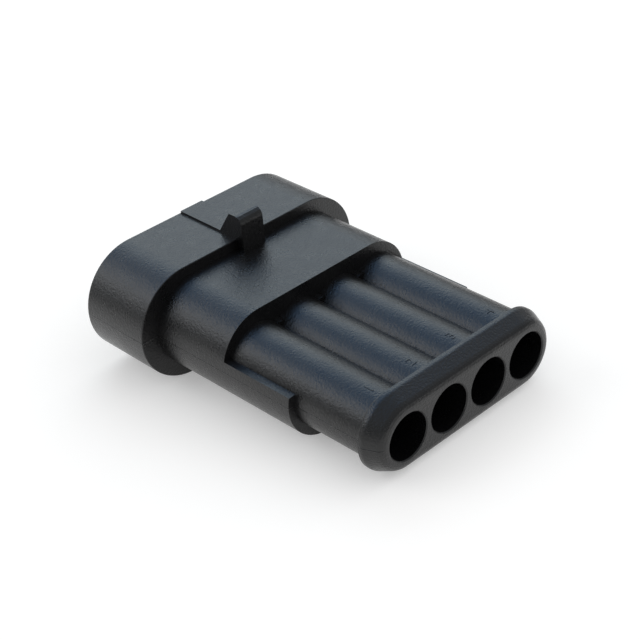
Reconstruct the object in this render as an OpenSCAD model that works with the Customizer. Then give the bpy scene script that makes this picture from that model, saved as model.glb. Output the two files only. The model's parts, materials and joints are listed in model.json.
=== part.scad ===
// Sealed automotive connector: tab housing for a single row of contacts,
// with the contact lock that slides in through its mating mouth.
// X runs across the circuits, +Y points out of the mating mouth, +Z is the latch side.
// The origin is under the middle of the part, on the level of its lowest face.

/* [Contact row] */
// Number of circuits side by side
circuits = 4; // [2:1:6]
// Distance between neighbouring circuits
pitch = 6; // [5.8:0.1:7]

/* [Wire end] */
// Diameter of each bore that a wire seal fills
seal_bore_d = 5.3; // [5:0.05:5.4]
// Depth of the wire seal bores
seal_bore_len = 9; // [7:0.5:10]
// Width of the small chamfer round each bore's mouth
bore_chamfer = 0.12; // [0.05:0.01:0.2]
// Wall of the tubes round the seal bores
tube_wall = 1.2; // [1:0.05:1.4]
// Free length of the tubes, from the flange to the body
tube_len = 19.25; // [17:0.25:22]
// Draft of the tubes and the body, in degrees: they get slimmer towards the flange
draft = 0.2; // [0.1:0.05:0.4]
// Thickness of the end flange
flange_t = 2.5; // [2.4:0.1:3.5]
// Width of the flat rim that the flange keeps round the seal bores
flange_rim = 1; // [0.8:0.05:1.2]
// How far the flange's bevel rises from that rim
bevel_rise = 0.92; // [0.6:0.02:1.2]
// How far the bevel runs along the part
bevel_run = 2; // [1.4:0.1:2]
// Radius of the soft turn from the rim into the bevel
rim_round = 1; // [0.4:0.1:1.2]
// Radius of the soft turn from the bevel to the flange's crest
crest_round = 0.8; // [0.3:0.1:1]
// Radius of the fillet at the foot of each tube, on the flange
foot_r = 0.7; // [0.3:0.1:0.8]
// Radius of the round pips in the valleys between the tubes
pip_r = 0.65; // [0.4:0.05:0.8]
// Length of those pips, from the body's rear face
pip_len = 1; // [0.5:0.1:1.5]

/* [Body] */
// Height of the body behind the shroud
body_h = 10.9; // [10.4:0.1:11.6]
// Length of the body
body_len = 10.7; // [9:0.1:13]
// Side of the body, measured out from the last circuit's axis
body_side = 4.8; // [4.7:0.1:5.4]
// Level of the skirt's upper edge above the row of bores
skirt_top = 1.4; // [1.3:0.1:2]
// Length of the skirt that the body's lower half sends back under the tubes
skirt_len = 9.75; // [7:0.25:14]

/* [Shroud] */
// Height of the shroud
shroud_h = 13.4; // [13:0.1:15]
// Length of the shroud
shroud_len = 9.55; // [8.5:0.05:12]
// Side of the shroud, measured out from the last circuit's axis
shroud_side = 7; // [6.8:0.1:8]
// Wall of the shroud
shroud_wall = 1.3; // [1.1:0.1:1.5]
// Thickness of the step at the shroud's rear
step_wall = 1.3; // [1:0.1:1.8]
// Chamfer inside the mouth, which leads the other half in
mouth_chamfer = 0.5; // [0.3:0.1:0.7]
// Radius of the shroud's front and rear edges
edge_r = 0.1; // [0.05:0.05:0.4]

/* [Latch] */
// Width of the catch and of the guide strip in front of it
catch_w = 3.2; // [2.6:0.1:4]
// Height of the catch above the shroud
catch_h = 3; // [2:0.1:3.4]
// How far the catch reaches forward of the shroud's rear face
catch_foot = 2.8; // [2.6:0.1:4]
// Length of the catch's ramp
ramp_len = 2; // [1.4:0.1:2]
// How far the catch stands back behind the shroud's rear face
catch_back = 1.1; // [0.5:0.1:1.5]
// How much further its rear face stands back where it meets the body
catch_lean = 0.1; // [0:0.1:0.6]
// Radius of the catch's upper rear edge
catch_r = 0.9; // [0.3:0.05:0.9]
// Height of the guide strip
strip_h = 0.25; // [0.15:0.05:0.4]

/* [Contact cavities] */
// Wall round the space for the other half's nose
nose_wall = 1.2; // [1:0.05:1.4]
// Distance from the body's rear face to the floor that the tabs stand out of
floor_ahead = 1.8; // [1.4:0.1:2.4]
// Diameter of the passage for the crimp
crimp_d = 4.2; // [3.8:0.1:4.4]
// Length of the cone from the seal bore down to that passage
cone_len = 1; // [0.6:0.1:1.5]
// Width of the cavity for the contact's box
cavity_w = 2.8; // [2.5:0.05:2.9]
// Height of that cavity
cavity_h = 2.9; // [2.6:0.05:3]
// Length of that cavity
cavity_len = 6.8; // [6.4:0.1:7.4]
// Thickness of the wall in front of it
front_wall = 1; // [0.8:0.1:1.2]
// Width of the slot that the tab passes through
tab_slot_w = 1.9; // [1.7:0.05:2.1]
// Height of that slot
tab_slot_h = 1.2; // [1:0.05:1.4]
// Length of the locking lance
lance_len = 4.6; // [4:0.1:5]
// Thickness of the lance
lance_t = 0.6; // [0.5:0.05:0.7]
// Width of the lance
lance_w = 1.4; // [1.2:0.05:1.5]
// Gap at each side of the lance
lance_gap = 0.25; // [0.2:0.05:0.3]
// Room above the lance, in which it bends and the lock's prong slides
lance_room = 0.8; // [0.75:0.05:0.85]
// Depth of the lance's nib
nib_h = 0.5; // [0.3:0.05:0.7]

/* [Contact lock] */
// Thickness of the lock's plate
lock_t = 2.4; // [2:0.1:3]
// Clearance between the lock and the walls that guide it
lock_clearance = 0.2; // [0.15:0.01:0.25]
// Clearance round the prongs, and under the plate when it is pushed home
prong_clearance = 0.15; // [0.1:0.01:0.18]
// Way that the lock slides from its open place to its locked place
lock_travel = 1.8; // [1.2:0.1:2]
// Length of the prongs that block the lances
prong_len = 3.4; // [3:0.1:3.6]
// Width of each window round a tab
window_w = 2.3; // [2:0.1:2.6]
// Height of that window
window_h = 1.6; // [1.3:0.1:1.8]
// Radius of the front edge of the plate
lock_edge_r = 0.3; // [0.1:0.05:0.5]
// Rim round the recess in the plate's front face
lock_rim = 0.8; // [0.6:0.05:1]
// Depth of that recess
lock_recess = 0.9; // [0.5:0.1:1.2]
// Length of the two snap legs
leg_len = 4.6; // [4.4:0.1:5]
// Thickness of the snap legs
leg_t = 0.6; // [0.5:0.05:0.7]
// Width of the snap legs
leg_w = 2; // [1.6:0.1:2.2]
// Height of the hook at the end of each snap leg
hook_h = 0.35; // [0.25:0.05:0.4]
// Length of that hook
hook_len = 0.8; // [0.6:0.1:1]

/* [Hidden] */
$fn = 96;
// overlap that makes neighbouring solids fuse
weld = 0.2;
arc_steps = 4;
black_plastic = [0.05, 0.05, 0.055];
natural_plastic = [0.86, 0.82, 0.70];

seal_r = seal_bore_d / 2;
crimp_r = crimp_d / 2;
// radius of the tubes at the flange and, grown by the draft, at the body
tube_r = seal_r + tube_wall;
tube_end_r = tube_r + tan(draft) * tube_len;
row = (circuits - 1) * pitch;
// level at which neighbouring tubes cross at the body
valley_z = sqrt(tube_end_r * tube_end_r - pitch * pitch / 4);
// stations along the part, from the rear face at 0
tubes_end = flange_t + tube_len;
step_y = tubes_end + body_len;
total_len = step_y + shroud_len;
skirt_y = tubes_end - skirt_len;
floor_y = tubes_end + floor_ahead;
cavity_front = floor_y - front_wall;
cavity_rear = cavity_front - cavity_len;
lance_root = cavity_front - lance_len - lance_gap;
// half heights, which are also the end radii of the rounded sections
rim_r = seal_r + flange_rim;
flange_r = rim_r + bevel_rise;
body_r = body_h / 2;
shroud_r = shroud_h / 2;
nose_r = body_r - nose_wall;
mouth_r = shroud_r - shroud_wall;
// straight lengths between the round ends
body_half = row / 2 + body_side;
body_run = 2 * (body_half - body_r);
shroud_run = row + 2 * (shroud_side - shroud_r);
// the contact lock
lock_rear = floor_y + prong_clearance + lock_travel;
lock_r = nose_r - lock_clearance;
window_top = cavity_h / 2 + lance_t + lance_room;
prong_t = lance_room - 2 * prong_clearance;
prong_w = lance_w + 2 * lance_gap - 2 * prong_clearance;
leg_outer = body_run / 2 + lock_r - hook_h;
pocket_outer = leg_outer + prong_clearance;
pocket_inner = leg_outer - leg_t - hook_h - prong_clearance;
leg_tip = lock_rear - leg_len;

// Points of an arc about centre c
function arc(c, r, from, to) =
    [for (i = [0 : arc_steps]) let (a = from + (to - from) * i / arc_steps) c + r * [cos(a), sin(a)]];

// Points of a round of radius r on corner b, between the edges that come from a and go to c
function soft(a, b, c, r) =
    let (u = (a - b) / norm(a - b),
         v = (c - b) / norm(c - b),
         half = acos(u * v) / 2,
         centre = b + (u + v) / norm(u + v) * r / sin(half))
    [for (i = [0 : arc_steps])
        let (w = b + (u * (arc_steps - i) + v * i) / arc_steps * r / tan(half) - centre)
            centre + w / norm(w) * r];

// Half section of a round-edged bar: radius r, from y0 to y1, edge radii e0 and e1
function bar_profile(r, y0, y1, e0, e1) = concat(
    [[0, y0]],
    e0 > 0 ? arc([r - e0, y0 + e0], e0, -90, 0) : [[r, y0]],
    e1 > 0 ? arc([r - e1, y1 - e1], e1, 0, 90) : [[r, y1]],
    [[0, y1]]);

// Carries a half section round the row: two half turns with a straight run between them
module around_row(run, points) {
    for (side = [-1, 1])
        translate([side * run / 2, 0, 0])
            rotate([-90, 0, 0])
                rotate_extrude(angle = 180, start = side > 0 ? -90 : 90)
                    polygon(points);
    rotate([0, 90, 0])
        linear_extrude(run, center = true)
            polygon(concat(points, [for (i = [len(points) - 1 : -1 : 0]) [-points[i][0], points[i][1]]]));
}

module each_circuit() {
    for (i = [0 : circuits - 1])
        translate([i * pitch - row / 2, 0, 0]) children();
}

// Straight cylinder or cone along Y
module along_y(y0, y1, r0, r1) {
    translate([0, y0, 0])
        rotate([-90, 0, 0])
            cylinder(h = y1 - y0, r1 = r0, r2 = r1);
}

module block(x0, x1, y0, y1, z0, z1) {
    translate([x0, y0, z0]) cube([x1 - x0, y1 - y0, z1 - z0]);
}

module flange() {
    rim = [rim_r, 0];
    bevel_end = [flange_r, bevel_run];
    crest_end = [flange_r, flange_t];
    around_row(row, concat(
        [[0, 0]],
        soft([0, 0], rim, bevel_end, rim_round),
        soft(rim, bevel_end, crest_end, crest_round),
        [crest_end, [0, flange_t]]));
}

module tubes() {
    foot = min(foot_r, flange_r - tube_r);
    each_circuit() {
        along_y(flange_t - weld, tubes_end + weld, tube_r, tube_end_r);
        // fillet where the tube leaves the flange
        rotate([-90, 0, 0])
            rotate_extrude()
                polygon(concat(
                    [[tube_r - weld, flange_t - weld], [tube_r + foot, flange_t - weld]],
                    arc([tube_r + foot, flange_t + foot], foot, 270, 180),
                    [[tube_r - weld, flange_t + foot]]));
    }
    // pips in the valleys, against the body's rear face
    for (i = [1 : circuits - 1])
        translate([(i - circuits / 2) * pitch, 0, valley_z])
            along_y(tubes_end - pip_len, tubes_end + weld, pip_r, pip_r);
}

// The body, whose lower part goes on to the rear as a skirt that holds the tubes
module body() {
    skirt_r = body_r - tan(draft) * (step_y - skirt_y);
    difference() {
        around_row(body_run, [
            [0, skirt_y], [skirt_r, skirt_y], [body_r, step_y], [body_r, step_y + weld], [0, step_y + weld]]);
        block(-body_half, body_half, skirt_y - weld, tubes_end, skirt_top, body_r);
    }
}

module shroud() {
    around_row(shroud_run, bar_profile(shroud_r, step_y, total_len, edge_r, edge_r));
}

// Side view of the catch and its foot on the body, drawn with Y across and Z up
module catch_profile() {
    root = body_r - nose_wall / 2;
    top = shroud_r + catch_h;
    ridge = [step_y + catch_foot - ramp_len, top];
    rear = [step_y - catch_back, top];
    foot = [rear.x - catch_lean, body_r];
    polygon(concat(
        [[foot.x, root], [step_y + weld, root],
         [step_y + weld, shroud_r - shroud_wall / 2],
         [step_y + catch_foot, shroud_r - shroud_wall / 2],
         [step_y + catch_foot, shroud_r],
         ridge],
        soft(ridge, rear, foot, catch_r),
        [foot]));
}

module latch() {
    translate([-catch_w / 2, 0, 0])
        rotate([90, 0, 90])
            linear_extrude(catch_w) catch_profile();
    // guide strip, from the catch to the shroud's front edge
    block(-catch_w / 2, catch_w / 2, step_y + catch_foot - weld, total_len - edge_r,
        shroud_r - shroud_wall / 2, shroud_r + strip_h);
}

// Room for one contact, from the wire seal to the slot for its tab
module contact_cavity() {
    along_y(-weld, seal_bore_len, seal_r, seal_r);
    along_y(-weld, bore_chamfer, seal_r + bore_chamfer + weld, seal_r);
    along_y(seal_bore_len, seal_bore_len + cone_len, seal_r, crimp_r);
    along_y(seal_bore_len, cavity_rear + weld, crimp_r, crimp_r);
    block(-cavity_w / 2, cavity_w / 2, cavity_rear, cavity_front, -cavity_h / 2, cavity_h / 2);
    block(-tab_slot_w / 2, tab_slot_w / 2, cavity_front - weld, floor_y + weld, -tab_slot_h / 2, tab_slot_h / 2);
    // window round the lance, and its way out over the front wall to the mating side
    window_half = lance_w / 2 + lance_gap;
    block(-window_half, window_half, lance_root, cavity_front, cavity_h / 2 - weld, window_top);
    block(-window_half, window_half, cavity_front - weld, floor_y + weld, cavity_h / 2 + lance_t, window_top);
}

// Spring finger that catches behind the contact's box
module lance() {
    translate([-lance_w / 2, 0, 0])
        rotate([90, 0, 90])
            linear_extrude(lance_w)
                polygon([
                    [lance_root - weld, cavity_h / 2],
                    [cavity_front - lance_gap - lance_len / 2, cavity_h / 2],
                    [cavity_front - lance_gap - lance_t, cavity_h / 2 - nib_h],
                    [cavity_front - lance_gap, cavity_h / 2 - nib_h],
                    [cavity_front - lance_gap, cavity_h / 2 + lance_t],
                    [lance_root - weld, cavity_h / 2 + lance_t]]);
}

// Pocket for one snap leg, with the groove that its hook runs in
module snap_pocket() {
    half = leg_w / 2 + prong_clearance;
    home_tip = leg_tip - lock_travel;
    block(pocket_inner, pocket_outer, home_tip - prong_clearance, floor_y + weld, -half, half);
    block(pocket_outer - weld, pocket_outer + hook_h, home_tip - prong_clearance,
        leg_tip + hook_len + prong_clearance, -half, half);
}

module mating_space() {
    // room for the other half's seal, with its lead-in chamfer
    around_row(shroud_run, [
        [0, step_y + step_wall],
        [mouth_r, step_y + step_wall],
        [mouth_r, total_len - mouth_chamfer],
        [mouth_r + mouth_chamfer, total_len],
        [mouth_r + mouth_chamfer, total_len + weld],
        [0, total_len + weld]]);
    // room for the other half's nose
    around_row(body_run, bar_profile(nose_r, floor_y, step_y + step_wall + weld, 0, 0));
}

module housing() {
    color(black_plastic) difference() {
        union() {
            flange();
            tubes();
            body();
            shroud();
            latch();
        }
        mating_space();
        each_circuit() difference() {
            contact_cavity();
            lance();
        }
        for (side = [0, 1]) mirror([side, 0, 0]) snap_pocket();
    }
}

module secondary_lock() {
    color(natural_plastic) {
        difference() {
            around_row(body_run, bar_profile(lock_r, lock_rear, lock_rear + lock_t, 0, lock_edge_r));
            around_row(body_run, bar_profile(lock_r - lock_rim, lock_rear + lock_t - lock_recess,
                lock_rear + lock_t + weld, 0, 0));
            each_circuit()
                block(-window_w / 2, window_w / 2, lock_rear - weld, lock_rear + lock_t,
                    -window_h / 2, window_h / 2);
        }
        // prongs that slide in over the lances
        each_circuit()
            block(-prong_w / 2, prong_w / 2, lock_rear - prong_len, lock_rear + weld,
                window_top - prong_clearance - prong_t, window_top - prong_clearance);
        // snap legs with their hooks
        for (side = [0, 1]) mirror([side, 0, 0]) {
            block(leg_outer - leg_t, leg_outer, leg_tip, lock_rear + weld, -leg_w / 2, leg_w / 2);
            block(leg_outer - weld, leg_outer + hook_h - prong_clearance, leg_tip, leg_tip + hook_len,
                -leg_w / 2, leg_w / 2);
        }
    }
}

// Sets the part on its lowest face, with its middle over the origin
module placed() {
    translate([0, -total_len / 2, shroud_r]) children();
}

placed() housing();
placed() secondary_lock();
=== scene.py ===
# %% [markdown]
# # A sealed wire connector housing in Blender
#
# The part is one black plastic moulding with four round bores for wires, and a small
# ivory lock that slides in its mouth. The solid shapes come from a CAD model. Here they
# get their finish, their moulded marks, a plain pale studio and a camera.

import json
import math

import bmesh
import bpy
from mathutils import Matrix, Vector
from mathutils.bvhtree import BVHTree


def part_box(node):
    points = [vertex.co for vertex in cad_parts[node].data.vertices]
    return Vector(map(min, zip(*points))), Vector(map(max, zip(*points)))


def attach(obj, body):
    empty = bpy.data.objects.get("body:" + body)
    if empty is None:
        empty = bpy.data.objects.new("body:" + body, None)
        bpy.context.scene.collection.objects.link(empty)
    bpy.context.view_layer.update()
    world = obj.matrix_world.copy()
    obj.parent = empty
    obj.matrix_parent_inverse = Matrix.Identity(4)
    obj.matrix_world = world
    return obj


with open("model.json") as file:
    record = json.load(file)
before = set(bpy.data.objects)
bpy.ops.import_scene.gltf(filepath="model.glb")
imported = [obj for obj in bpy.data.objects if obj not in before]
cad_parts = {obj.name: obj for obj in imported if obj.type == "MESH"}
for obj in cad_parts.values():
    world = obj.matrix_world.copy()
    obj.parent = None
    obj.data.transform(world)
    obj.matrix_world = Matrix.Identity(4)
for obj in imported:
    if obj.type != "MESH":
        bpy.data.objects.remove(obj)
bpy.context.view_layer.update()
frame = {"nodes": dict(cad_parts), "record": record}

# %% [markdown]
# ## Sizes that everything below shares
#
# Blender works in metres here and the part is only 42 mm long, so lengths are written in
# millimetres and multiplied by MM. The bores are stated in the CAD model's record, and
# what lines up with a circuit takes its place from them.

# %% Shared sizes
MM = 0.001
housing = frame["nodes"]["housing"]
lock = frame["nodes"]["secondary_lock"]
low, high = (Vector(corner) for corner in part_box("housing"))
mounts = frame["record"]["mounts"]
bores = [Vector(mount["pos_m"]) for mount in mounts if mount["name"].startswith("seal_bore")]
axis_z = bores[0].z
print("bores:", len(bores), "axis height in mm:", round(axis_z / MM, 2))

# %% [markdown]
# ## Three small helpers for materials
#
# Colours are written as the hex values that paint programs show. Blender's shaders want
# linear light, so one function turns them. The second adds a node with its settings and
# links, which keeps each material short enough to read. The third starts a material.

# %% Helpers for materials
def linear(hex_code):
    """Linear RGBA of an sRGB colour such as '#0c0d0e'."""
    parts = [int(hex_code[i : i + 2], 16) / 255 for i in (1, 3, 5)]
    return [p / 12.92 if p <= 0.04045 else ((p + 0.055) / 1.055) ** 2.4 for p in parts] + [1.0]


def add(tree, kind, links=(), **settings):
    """Adds a node. links holds (input, other node's output); settings set sockets or properties."""
    node = tree.nodes.new("ShaderNode" + kind)
    for name, value in settings.items():
        if hasattr(node, name):
            setattr(node, name, value)
        else:
            node.inputs[name.replace("_", " ")].default_value = value
    for socket, source in links:
        tree.links.new(source, node.inputs[socket])
    return node


def new_material(name):
    """An empty material, its node tree and its output node."""
    material = bpy.data.materials.new(name)
    material.use_nodes = True
    material.node_tree.nodes.clear()
    return material, material.node_tree, add(material.node_tree, "OutputMaterial")


print("middle grey in linear light:", round(linear("#808080")[0], 3))

# %% [markdown]
# ## Black polyamide, injection moulded
#
# The housing is glass-filled polyamide 6.6. Its mould was spark eroded, which leaves a
# fine even grain, so a highlight on it is soft and a little speckled. Black plastic shows
# almost nothing but reflections, so the grain, the roughness and the faint waves of a
# cooled wall matter more here than the colour. Each is a noise on Object coordinates,
# which are metres, so a scale of 1000 means one wave per millimetre.

# %% Black polyamide: grain, waves and roughness
# the mould's grain is about 0.05 mm, and is drawn five times as coarse so that it shows
GRAIN_PER_METRE = 4000.0
# shallow waves of about 6 mm, because a moulded wall sinks unevenly as it cools
WAVES_PER_METRE = 170.0
# patches of 1 to 2 mm where glass fibre lies nearer to the skin
PATCHES_PER_METRE = 700.0
black, tree, out = new_material("polyamide_black_moulded")
place = add(tree, "TexCoord")
here = [("Vector", place.outputs["Object"])]
grain = add(tree, "TexNoise", here, Scale=GRAIN_PER_METRE, Detail=3.0, Roughness=0.6)
wave = add(tree, "TexNoise", here, Scale=WAVES_PER_METRE, Detail=1.0)
cloud = add(tree, "TexNoise", here, Scale=PATCHES_PER_METRE, Detail=4.0)
rough = add(tree, "MapRange", [("Value", cloud.outputs["Fac"])], To_Min=0.22, To_Max=0.36)
print("grain, waves and patches are in", black.name)

# %% [markdown]
# ## The parting line
#
# The two halves of the mould meet just above the middle of the row and leave a hair-thin
# raised line along both sides. It is only 0.05 mm high, too fine for a mesh, so it is
# drawn into the bump: a narrow peak in height at one level, and only on the outer sides.

# %% Black polyamide: parting line
PARTING_Z = axis_z + 0.15 * MM
PARTING_HALF_WIDTH = 0.07 * MM
SIDE_X = bores[-1].x + 3.3 * MM
spot = add(tree, "SeparateXYZ", [(0, place.outputs["Object"])])
level = add(tree, "Math", [(0, spot.outputs["Z"])], operation="SUBTRACT")
level.inputs[1].default_value = PARTING_Z
off_line = add(tree, "Math", [(0, level.outputs[0])], operation="ABSOLUTE")
ridge = add(tree, "MapRange", [("Value", off_line.outputs[0])], To_Min=1.0, To_Max=0.0)
ridge.inputs["From Max"].default_value = PARTING_HALF_WIDTH
reach = add(tree, "Math", [(0, spot.outputs["X"])], operation="ABSOLUTE")
outer = add(tree, "Math", [(0, reach.outputs[0])], operation="GREATER_THAN")
outer.inputs[1].default_value = SIDE_X
flash = add(tree, "Math", [(0, ridge.outputs[0]), (1, outer.outputs[0])], operation="MULTIPLY")
print("parting line at", round(PARTING_Z / MM, 2), "mm")

# %% Black polyamide: shader
WAVE_HEIGHT = 0.06 * MM
GRAIN_HEIGHT = 0.06 * MM
PARTING_HEIGHT = 0.05 * MM
soft_waves = add(tree, "Bump", [("Height", wave.outputs["Fac"])], Strength=1.0, Distance=WAVE_HEIGHT)
with_grain = add(
    tree,
    "Bump",
    [("Height", grain.outputs["Fac"]), ("Normal", soft_waves.outputs["Normal"])],
    Strength=1.0,
    Distance=GRAIN_HEIGHT,
)
with_line = add(
    tree,
    "Bump",
    [("Height", flash.outputs[0]), ("Normal", with_grain.outputs["Normal"])],
    Strength=0.8,
    Distance=PARTING_HEIGHT,
)
shader = add(
    tree,
    "BsdfPrincipled",
    [("Roughness", rough.outputs["Result"]), ("Normal", with_line.outputs["Normal"])],
    Base_Color=linear("#070708"),
    IOR=1.5,
)
tree.links.new(shader.outputs["BSDF"], out.inputs["Surface"])
housing.data.materials.clear()
housing.data.materials.append(black)
print("housing is", black.name)

# %% [markdown]
# ## Natural polyamide for the lock
#
# The contact lock is unfilled polyamide in its natural ivory colour. It is a little
# cloudy, and light goes a short way into it and comes out again, which takes the
# hardness off its edges. A small subsurface weight gives that, with a radius in
# millimetres, and the same kind of grain as on the housing keeps its highlights soft.

# %% Natural polyamide
# clouds of about 1 mm, and a finer grain than the housing's
CLOUDS_PER_METRE = 900.0
FINE_GRAIN_PER_METRE = 6000.0
FINE_GRAIN_HEIGHT = 0.01 * MM
ivory, tree, out = new_material("polyamide_natural_moulded")
place = add(tree, "TexCoord")
here = [("Vector", place.outputs["Object"])]
cloud = add(tree, "TexNoise", here, Scale=CLOUDS_PER_METRE, Detail=3.0)
tint = add(tree, "Mix", [("Factor", cloud.outputs["Fac"])], data_type="RGBA")
tint.inputs["A"].default_value = linear("#e6dec8")
tint.inputs["B"].default_value = linear("#d9cfb2")
grain = add(tree, "TexNoise", here, Scale=FINE_GRAIN_PER_METRE, Detail=2.0)
bump = add(tree, "Bump", [("Height", grain.outputs["Fac"])], Strength=0.3, Distance=FINE_GRAIN_HEIGHT)
rough = add(tree, "MapRange", [("Value", cloud.outputs["Fac"])], To_Min=0.36, To_Max=0.48)
shader = add(
    tree,
    "BsdfPrincipled",
    [
        ("Base Color", tint.outputs["Result"]),
        ("Roughness", rough.outputs["Result"]),
        ("Normal", bump.outputs["Normal"]),
    ],
    IOR=1.53,
    Subsurface_Weight=0.15,
    Subsurface_Scale=0.4 * MM,
)
tree.links.new(shader.outputs["BSDF"], out.inputs["Surface"])
lock.data.materials.clear()
lock.data.materials.append(ivory)
print("lock is", ivory.name)

# %% [markdown]
# ## Circuit numerals
#
# Each tube carries its circuit's number near the flange, just over a millimetre high and
# raised by a few hundredths, so that the person who fills the housing can count. Text is
# the quickest start for a numeral. It is turned into a mesh and put over the crown, and
# each of its points is then dropped onto the curved tube with a ray, so it follows the
# surface. Its lower side goes a little way into the tube and leaves no gap.

# %% Where the numerals go
NUMERAL_H = 1.15 * MM
NUMERAL_RISE = 0.05 * MM
NUMERAL_SINK = 0.04 * MM
NUMERAL_Y = low.y + 4.15 * MM
NUMERAL_DX = -0.45 * MM
skin = bmesh.new()
skin.from_mesh(housing.data)
surface = BVHTree.FromBMesh(skin)
skin.free()
print("numerals start", round((NUMERAL_Y - low.y) / MM, 2), "mm from the flange's face")


def lay_on_tube(bm, thickness):
    """Drops a flat text mesh onto the housing, its upper side proud and its lower side sunk."""
    start_z = high.z + 5 * MM
    for vert in bm.verts:
        hit = surface.ray_cast(Vector((vert.co.x, vert.co.y, start_z)), Vector((0, 0, -1)))[0]
        vert.co.z = hit.z + (NUMERAL_RISE if vert.co.z > thickness / 2 else -NUMERAL_SINK)


# %% Make the numerals
# a digit is about 0.7 of its font's size high
FONT_PER_HEIGHT = 1.4
# narrow steps across let the numeral bend with the tube
CUT_STEP = 0.12 * MM
CUTS_EACH_WAY = 3
MERGE_DISTANCE = 0.0005 * MM
numerals = []
for number, bore in enumerate(bores, start=1):
    words = bpy.data.curves.new("numeral", "FONT")
    words.body = str(number)
    words.size = NUMERAL_H * FONT_PER_HEIGHT
    words.extrude = NUMERAL_RISE
    words.resolution_u = 4
    words.align_x = "CENTER"
    maker = bpy.data.objects.new("numeral_maker", words)
    bpy.context.scene.collection.objects.link(maker)
    bpy.context.view_layer.update()
    mesh = bpy.data.meshes.new_from_object(maker)
    bpy.data.objects.remove(maker)
    bm = bmesh.new()
    bm.from_mesh(mesh)
    bmesh.ops.remove_doubles(bm, verts=bm.verts, dist=MERGE_DISTANCE)
    for step in range(-CUTS_EACH_WAY, CUTS_EACH_WAY + 1):
        geometry = bm.verts[:] + bm.edges[:] + bm.faces[:]
        cut = (step * CUT_STEP, 0, 0)
        bmesh.ops.bisect_plane(bm, geom=geometry, plane_co=cut, plane_no=(1, 0, 0))
    bmesh.ops.translate(bm, verts=bm.verts, vec=(bore.x + NUMERAL_DX, NUMERAL_Y, NUMERAL_RISE))
    lay_on_tube(bm, 2 * NUMERAL_RISE)
    bmesh.ops.recalc_face_normals(bm, faces=bm.faces)
    bm.to_mesh(mesh)
    bm.free()
    numeral = bpy.data.objects.new(f"circuit_numeral_{number}", mesh)
    bpy.context.scene.collection.objects.link(numeral)
    mesh.materials.clear()
    mesh.materials.append(black)
    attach(numeral, "housing")
    numerals.append(numeral)
print("numerals:", [len(n.data.polygons) for n in numerals], "faces each")

# %% [markdown]
# ## The floor
#
# The part lies on white paper. Its weight lies behind the shroud's short flat underside,
# so it tips back over the shroud's rear edge. The part keeps the CAD model's place, and
# the floor is tilted instead, to meet the flange. The skirt under the tubes reaches that
# level a little sooner, so its rear end goes a tenth of a millimetre into the paper. The
# paper is lit by the lamps and keeps the part's shadow. A little glow on top lifts it to
# plain white for the camera, for what is mirrored in the plastic and for what is seen
# through glass.

# %% Floor
FLANGE_R = 4.57 * MM
FLANGE_CREST_Y = low.y + 2.25 * MM
SHROUD_REAR_Y = 11.45 * MM
FLOOR_HALF = 1.5
# the paper lies a hair lower than the part, so that no face shares its place
FLOOR_GAP = 0.02 * MM
rest_tilt = math.atan2(axis_z - FLANGE_R, SHROUD_REAR_Y - FLANGE_CREST_Y)
bm = bmesh.new()
bmesh.ops.create_grid(bm, x_segments=1, y_segments=1, size=FLOOR_HALF)
bmesh.ops.rotate(bm, verts=bm.verts, matrix=Matrix.Rotation(-rest_tilt, 3, "X"))
bmesh.ops.translate(bm, verts=bm.verts, vec=(0, SHROUD_REAR_Y * math.cos(rest_tilt), -FLOOR_GAP))
floor_mesh = bpy.data.meshes.new("studio_floor")
bm.to_mesh(floor_mesh)
bm.free()
floor = bpy.data.objects.new("studio_floor", floor_mesh)
bpy.context.scene.collection.objects.link(floor)
print("floor tilted by", round(math.degrees(rest_tilt), 2), "degrees")

# %% Paper for the floor
PAPER_GLOW = 0.31
paper, tree, out = new_material("paper_white_matt")
sees = add(tree, "LightPath")
camera_ray = sees.outputs["Is Camera Ray"]
glossy_ray = sees.outputs["Is Glossy Ray"]
through_ray = sees.outputs["Is Transmission Ray"]
matt = add(tree, "BsdfDiffuse", Color=linear("#e4e4e4"))
glow = add(tree, "Emission", Color=(1, 1, 1, 1), Strength=PAPER_GLOW)
lit = add(tree, "AddShader", [(0, matt.outputs[0]), (1, glow.outputs[0])])
direct = add(tree, "Math", [(0, camera_ray), (1, glossy_ray)], operation="MAXIMUM")
shown = add(tree, "Math", [(0, direct.outputs[0]), (1, through_ray)], operation="MAXIMUM")
pick = add(tree, "MixShader", [(0, shown.outputs[0]), (1, matt.outputs[0]), (2, lit.outputs[0])])
tree.links.new(pick.outputs[0], out.inputs["Surface"])
floor_mesh.materials.append(paper)
print("floor is", paper.name)

# %% [markdown]
# ## The room
#
# The world does three jobs, one for each kind of ray. The camera, and what is seen
# through glass, gets plain white. Soft light from all round, stronger on the camera's
# right, lights the paper and the part. What the plastic mirrors is a white backdrop
# behind the part, from a little above the horizon, with a cool window over it and a dim
# room in front, because black plastic needs something to mirror: under an even sky its
# tubes would look flat.

# %% World: soft light from all round
BRIGHT_SIDE = (0.68, -0.73, 0)
WEAKEST_LIGHT = 0.35
STRONGEST_LIGHT = 1.3
world = bpy.data.worlds.new("studio")
bpy.context.scene.world = world
world.use_nodes = True
tree = world.node_tree
tree.nodes.clear()
out = add(tree, "OutputWorld")
sees = add(tree, "LightPath")
way = add(tree, "TexCoord")
side = add(tree, "VectorMath", [(0, way.outputs["Generated"])], operation="DOT_PRODUCT")
side.inputs[1].default_value = BRIGHT_SIDE
lean = add(tree, "MapRange", [("Value", side.outputs["Value"])], From_Min=-1, From_Max=1)
lean.inputs["To Min"].default_value = WEAKEST_LIGHT
lean.inputs["To Max"].default_value = STRONGEST_LIGHT
soft = add(tree, "Background", [("Strength", lean.outputs[0])], Color=(1, 1, 1, 1))
print("soft light from", WEAKEST_LIGHT, "to", STRONGEST_LIGHT)

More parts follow.
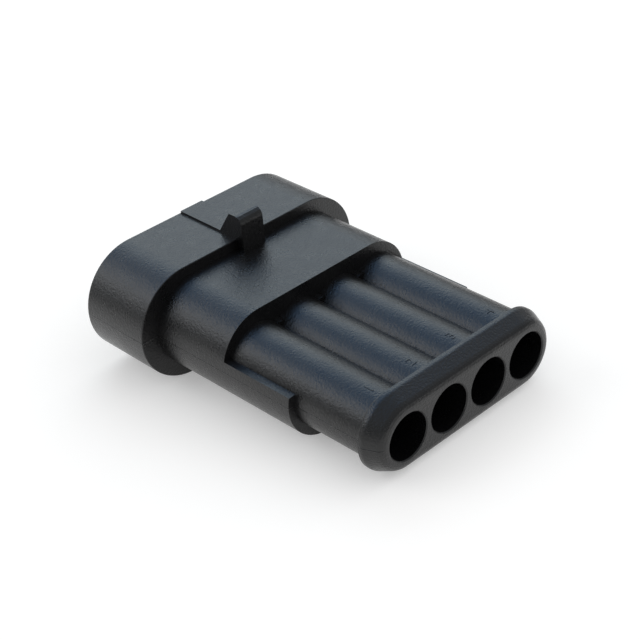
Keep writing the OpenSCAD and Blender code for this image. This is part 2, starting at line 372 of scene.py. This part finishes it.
# %% World: what the plastic mirrors
BACKDROP_TINT = (0.92, 0.96, 1.0, 1)
WINDOW_TINT = (0.5, 0.85, 1.4, 1)
# Y and Z of a direction run from -1 to 1. Each map below makes a ramp of a stretch of one
# of them: round to the backdrop, up the backdrop, up the dim front, up to the window
height = add(tree, "SeparateXYZ", [(0, way.outputs["Generated"])])
y_value = [("Value", height.outputs["Y"])]
z_value = [("Value", height.outputs["Z"])]
behind = add(tree, "MapRange", y_value, From_Min=-0.25, From_Max=0.35)
backdrop = add(tree, "MapRange", z_value, From_Min=0.10, From_Max=0.27)
front = add(tree, "MapRange", z_value, From_Min=0.0, From_Max=0.4, To_Min=0.05, To_Max=0.5)
window = add(tree, "MapRange", z_value, From_Min=0.55, From_Max=0.75)
room = add(
    tree,
    "Mix",
    [("Factor", behind.outputs[0]), ("A", front.outputs[0]), ("B", backdrop.outputs[0])],
    data_type="FLOAT",
)
cool = add(tree, "Math", [(0, window.outputs[0]), (1, behind.outputs[0])], operation="MULTIPLY")
tint = add(tree, "Mix", [("Factor", cool.outputs[0])], data_type="RGBA")
tint.inputs["A"].default_value = BACKDROP_TINT
tint.inputs["B"].default_value = WINDOW_TINT
mirrored = add(
    tree, "Background", [("Color", tint.outputs["Result"]), ("Strength", room.outputs[0])]
)
print("mirrored room:", BACKDROP_TINT[:3], "backdrop,", WINDOW_TINT[:3], "window")

# %% World: one branch for each kind of ray
camera_ray = sees.outputs["Is Camera Ray"]
glossy_ray = sees.outputs["Is Glossy Ray"]
through_ray = sees.outputs["Is Transmission Ray"]
glossy = add(tree, "MixShader", [(0, glossy_ray), (1, soft.outputs[0]), (2, mirrored.outputs[0])])
white = add(tree, "Background", Color=(1, 1, 1, 1), Strength=1.0)
shown = add(tree, "Math", [(0, camera_ray), (1, through_ray)], operation="MAXIMUM")
pick = add(
    tree, "MixShader", [(0, shown.outputs[0]), (1, glossy.outputs[0]), (2, white.outputs[0])]
)
tree.links.new(pick.outputs[0], out.inputs["Surface"])
print("world has", len(tree.nodes), "nodes")

# %% [markdown]
# ## Two softboxes
#
# Two large lamps stand on the side that the mouth faces, right and left of the part's own
# axis, and give the long soft streaks along its flat tops and round its tubes. An area
# lamp is as bright to look at as its energy divided by pi and by its area, so the
# function takes that brightness and works out the energy.

# %% Softboxes
def softbox(name, azimuth, elevation, distance, size, radiance, colour):
    """A rectangular area lamp that faces the part. Azimuth 0 is +Y, 90 is +X."""
    lamp = bpy.data.lights.new(name, "AREA")
    lamp.shape = "RECTANGLE"
    lamp.size, lamp.size_y = size
    lamp.color = colour
    lamp.energy = radiance * math.pi * size[0] * size[1]
    holder = bpy.data.objects.new(name, lamp)
    a, e = math.radians(azimuth), math.radians(elevation)
    way = Vector((math.sin(a) * math.cos(e), math.cos(a) * math.cos(e), math.sin(e)))
    holder.location = Vector((0, 0, axis_z)) + way * distance
    holder.rotation_euler = way.to_track_quat("Z", "Y").to_euler()
    bpy.context.scene.collection.objects.link(holder)


LAMP_DISTANCE = 0.6
LAMP_ELEVATION = 33
COOL_WHITE = (0.8, 0.95, 1.0)
PLAIN_WHITE = (1.0, 1.0, 1.0)
softbox(
    "softbox_right",
    azimuth=38,
    elevation=LAMP_ELEVATION,
    distance=LAMP_DISTANCE,
    size=(0.45, 0.3),
    radiance=1.15,
    colour=COOL_WHITE,
)
softbox(
    "softbox_left",
    azimuth=-42,
    elevation=LAMP_ELEVATION,
    distance=LAMP_DISTANCE,
    size=(0.40, 0.34),
    radiance=1.4,
    colour=PLAIN_WHITE,
)

# %% [markdown]
# ## The camera
#
# The part is seen from behind and above, over its left rear corner, from 17 cm away. The
# three angles turn the camera, and a small shift puts the part in the middle without
# turning it further.

# %% Camera
AZIMUTH = math.radians(-42.746)
ELEVATION = math.radians(33.134)
ROLL = math.radians(-4.024)
CAMERA_AT = Vector((-93.3, -102.2, 97.66)) * MM
camera_data = bpy.data.cameras.new("camera")
camera = bpy.data.objects.new("camera", camera_data)
bpy.context.scene.collection.objects.link(camera)
bpy.context.scene.camera = camera
flat_back = Vector((math.sin(AZIMUTH), -math.cos(AZIMUTH), 0))
back = flat_back * math.cos(ELEVATION) + Vector((0, 0, math.sin(ELEVATION)))
right = Vector((math.cos(AZIMUTH), math.sin(AZIMUTH), 0))
up = back.cross(right)
turned_right = right * math.cos(ROLL) + up * math.sin(ROLL)
turned_up = up * math.cos(ROLL) - right * math.sin(ROLL)
turn = Matrix((turned_right, turned_up, back)).transposed().to_4x4()
camera.matrix_world = Matrix.Translation(CAMERA_AT) @ turn
camera_data.lens = 85.55
camera_data.sensor_width = 36
camera_data.shift_x = -0.0159
camera_data.shift_y = -0.00736
camera_data.clip_start = 0.01
camera_data.clip_end = 10
print("camera in mm:", [round(v / MM, 1) for v in camera.location])

# %% [markdown]
# ## Look settings
#
# The Standard view shows a colour as it is written.

# %% Look settings
bpy.context.scene.view_settings.view_transform = "Standard"
